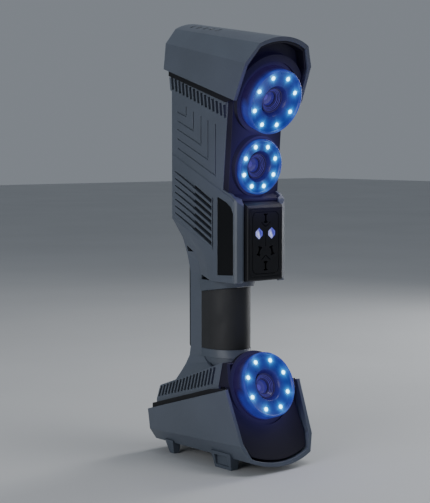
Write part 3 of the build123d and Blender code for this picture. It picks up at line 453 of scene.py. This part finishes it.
# By the record's material slots, and then two for pieces made here only
MATERIALS = {
    "slate_shell": moulded("slate_paint", (0.074, 0.09, 0.118), 0.42, wear=0.3, spill=0.16),
    "grey_trim": moulded("grey_moulding", (0.06, 0.075, 0.1), 0.45, wear=0.25, spill=0.08),
    "black_plastic": moulded("black_moulding", (0.0045, 0.005, 0.007), 0.5, wear=0.15, spill=0.11, shine=0.3),
    "dark_housing": moulded("dark_housing_moulding", (0.007, 0.006, 0.014), 0.5, wear=0.15, spill=0.14,
                            shine=0.3),
    "panel_gloss": moulded("side_panel_satin", (0.0015, 0.0018, 0.003), 0.42, grain=9000.0, depth=0.008 * MM,
                           shine=0.22),
    "grip_rubber": rubber("grip_rubber_skin", (0.0095, 0.0105, 0.013), 0.62),
    "button_rubber": rubber("button_rubber_skin", (0.03, 0.032, 0.037), 0.55),
    "led_light": lit_dome("led_dome"),
    "laser_lens": laser_lens("laser_lens_glass"),
    "smoked_glass": polished("smoked_window", (0.004, 0.004, 0.006), 0.06, coat=0.5),
    # Violet-blue emission of the lens glass: painted light, the ring light reflected in the lens
    "lens_glass": polished("coated_lens_painted_glow", (0.02, 0.012, 0.09), 0.03, coat=1.0, glow=(0.03, 0.026, 0.2),
                           strength=0.8),
    # Black lens parts with a violet tint: their own black, plus painted violet ring light on it
    "lens_black": moulded("black_anodised_painted_violet_light", (0.012, 0.01, 0.035), 0.4, grain=7000.0, metallic=0.3,
                          spill=0.11),
    "circuit_board": circuit_board("solder_mask"),
    "aluminium": brushed("machined_aluminium", (0.58, 0.59, 0.62), 0.35),
    "steel": brushed("socket_steel", (0.3, 0.3, 0.32), 0.3, scale=(1.0, 30.0, 1.0)),
    "brass": brushed("plated_brass", (0.7, 0.5, 0.22), 0.28),
    "fan_plastic": moulded("fan_moulding", (0.012, 0.012, 0.014), 0.45),
    "wire_sleeve": rubber("braided_sleeve", (0.012, 0.012, 0.014), 0.6),
    # Violet glow emitted by the lens rings: painted light, the ring light reflected on their edges
    "ring_line": polished("lens_ring_line_painted_glow", (0.02, 0.016, 0.08), 0.2, coat=0.4, glow=(0.05, 0.045, 0.3),
                          strength=0.9),
    # Near-black colour of the sheets behind the vent slots: painted shade for the shade inside the slots
    "shade_sheet": rubber("painted_shade_sheet", (0.0012, 0.0012, 0.0015), 0.85),
}


# ---------------------------------------------------------------- pieces

def lathe(profile, segments, closed=True):
    """A ring or a cap turned round local Z from (radius, height) points, as a bmesh."""
    bm = bmesh.new()
    rings = []
    for i in range(segments):
        turn = 2 * math.pi * i / segments
        rings.append([bm.verts.new((r * math.cos(turn), r * math.sin(turn), h)) for r, h in profile])
    count = len(profile)
    last = count if closed else count - 1
    for i in range(segments):
        a, b = rings[i], rings[(i + 1) % segments]
        for j in range(last):
            k = (j + 1) % count
            bm.faces.new((a[j], b[j], b[k], a[k]))
    bmesh.ops.recalc_face_normals(bm, faces=bm.faces)
    return bm


def merge(bm, part):
    """Add one bmesh to another, and free it."""
    mesh = bpy.data.meshes.new("part")
    part.to_mesh(mesh)
    part.free()
    bm.from_mesh(mesh)
    bpy.data.meshes.remove(mesh)


def led_radius(name):
    """Radius of the circle that the LED centres are on, half a step away from the X axis."""
    return (half_width(f"{name}_leds") - LED_SEAT_RADIUS) / math.cos(math.pi / LED_COUNT)


def light_ring(name):
    """The blue light guide of one camera, turned from its section, replacing the plain cup."""
    rim = half_width(f"{name}_light_cover")
    back = -CUP_DEPTH[name]
    profile = [(NECK_RADIUS, back), (rim, back)]
    profile += [(rim - inward * MM, up * MM) for inward, up in RIM_SECTION]
    profile += [(radius * MM, up * MM) for radius, up in WELL_SECTION]
    piece = new_piece(f"{name}_light_ring", lathe(profile, RING_SEGMENTS),
                      ring_light(f"{name}_ring_glow", led_radius(name), rim),
                      matrix=optical_frame(name), sharp=50.0)
    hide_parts(f"{name}_light_cover")


def led_domes(name):
    """Eight small glass domes with a stepped seat, standing on the face of the light ring."""
    section = [(r * MM, h * MM) for r, h in DOME_SECTION]
    circle = led_radius(name)
    bm = bmesh.new()
    for i in range(LED_COUNT):
        turn = (i + 0.5) * 2 * math.pi / LED_COUNT
        dome = lathe(section, DOME_SEGMENTS, closed=False)
        bmesh.ops.translate(dome, verts=dome.verts, vec=(circle * math.cos(turn), circle * math.sin(turn), 0))
        merge(bm, dome)
    # Closes each dome where its section meets the axis
    bmesh.ops.remove_doubles(bm, verts=bm.verts, dist=0.001 * MM)
    piece = new_piece(f"{name}_led_domes", bm, MATERIALS["led_light"],
                      matrix=optical_frame(name))
    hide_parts(f"{name}_leds")


def lens_rings(name):
    """Thin stepped rings in the mouth of one lens, in front of its barrel's bore."""
    bm = bmesh.new()
    for i in range(LENS_RING_COUNT):
        r = LENS_RING_RADIUS - LENS_RING_INSET * i
        h = LENS_RING_HEIGHT - LENS_RING_DROP * i
        merge(bm, lathe([((r + dr) * MM, (h + dh) * MM) for dr, dh in LENS_RING_SECTION], LENS_RING_SEGMENTS))
    new_piece(f"{name}_lens_rings", bm, MATERIALS["ring_line"], matrix=optical_frame(name))


def vent_shade_sheet(name, side, depth, corners):
    """Thin near-black sheet with a woven look behind one group of slots, in the plane of that side: painted
    shade, standing for the shade inside the slots.
    """
    bm = bmesh.new()
    front = [bm.verts.new((side * depth, y, z)) for y, z in corners]
    back = [bm.verts.new((side * (depth - SHADE_SHEET_THICKNESS), y, z)) for y, z in corners]
    bm.faces.new(front)
    bm.faces.new(back[::-1])
    for i in range(len(corners)):
        k = (i + 1) % len(corners)
        bm.faces.new((front[i], back[i], back[k], front[k]))
    bmesh.ops.recalc_face_normals(bm, faces=bm.faces)
    new_piece(name, bm, MATERIALS["shade_sheet"])


# Painted shade: near-black sheets behind the slot groups on both sides, for the shade inside the slots
def vent_shade_sheets():
    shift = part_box("left_shell")[1].y - SHELL_REAR
    for label, side in (("left", -1), ("right", 1)):
        for kind, (depth, corners) in SHADE_SHEETS.items():
            points = [(y * MM + shift, z * MM) for y, z in corners]
            vent_shade_sheet(f"{label}_{kind}_screen", side, depth * MM, points)


def paint_cad():
    """Give each CAD node the material of its record slot, where this script makes one."""
    slots = {row["node"]: row["material_slot"] for row in frame["record"]["subparts"]}
    for node, obj in NODES.items():
        material = MATERIALS.get(slots[node])
        if material is None:
            continue
        obj.data.materials.clear()
        obj.data.materials.append(material)


def build_object():
    paint_cad()
    for name in CAMERAS:
        light_ring(name)
        led_domes(name)
        lens_rings(name)
    vent_shade_sheets()


# ---------------------------------------------------------------- studio

def studio_floor():
    bm = bmesh.new()
    bmesh.ops.create_grid(bm, x_segments=1, y_segments=1, size=FLOOR_SIZE)
    mesh = bpy.data.meshes.new("studio_floor")
    bm.to_mesh(mesh)
    bm.free()
    kit = Nodes("pale_floor")
    drift = kit.ramp(kit.noise(3.0), 0.3, 0.7)
    kit.feed("Base Color", kit.blend(drift, (0.5, 0.51, 0.52), (0.54, 0.55, 0.56)))
    kit.fix("Roughness", 0.6)
    mesh.materials.append(kit.material)
    link(bpy.data.objects.new("studio_floor", mesh))


def softbox(name, place, target, size, watts):
    data = bpy.data.lights.new(name, "AREA")
    data.shape = "RECTANGLE"
    data.size, data.size_y = size
    data.energy = watts
    obj = link(bpy.data.objects.new(name, data))
    obj.location = place
    obj.rotation_euler = (Vector(target) - Vector(place)).to_track_quat("-Z", "Y").to_euler()


def ring_lamp(name):
    """A soft blue lamp just in front of one light ring, for its glow on the parts around it."""
    data = bpy.data.lights.new(f"{name}_ring_lamp", "POINT")
    data.energy = RING_LAMP_WATTS[name]
    data.color = (0.2, 0.13, 1.0)
    data.shadow_soft_size = RING_LAMP_RADIUS
    obj = link(bpy.data.objects.new(f"{name}_ring_lamp", data))
    obj.location = optical_frame(name) @ Vector((0, 0, RING_LAMP_HEIGHT))


def studio_light():
    world = bpy.data.worlds.new("studio_world")
    bpy.context.scene.world = world
    world.use_nodes = True
    background = world.node_tree.nodes["Background"]
    background.inputs["Color"].default_value = (0.62, 0.68, 0.76, 1.0)
    background.inputs["Strength"].default_value = 0.34
    softbox("top_softbox", place=(0.15, -0.25, 1.3), target=(0, 0, 0.2), size=(0.35, 0.9), watts=6.0)
    softbox("front_left_softbox", place=(-1.3, -0.25, 0.35), target=(0, 0, 0.16), size=(0.8, 0.9), watts=9.0)
    softbox("right_rim_softbox", place=(1.0, 0.1, 0.5), target=(0, 0, 0.16), size=(0.25, 1.0), watts=7.0)
    for name in CAMERAS:
        ring_lamp(name)


def studio_camera():
    away = math.cos(VIEW_HEIGHT)
    back = Vector((math.sin(VIEW_AZIMUTH) * away, -math.cos(VIEW_AZIMUTH) * away, math.sin(VIEW_HEIGHT)))
    data = bpy.data.cameras.new("studio_camera")
    data.lens = LENS_MM
    obj = link(bpy.data.objects.new("studio_camera", data))
    obj.location = CAMERA_PLACE
    obj.rotation_euler = (-back).to_track_quat("-Z", "Y").to_euler()
    bpy.context.scene.camera = obj


studio_camera()
build_object()
studio_floor()
studio_light()
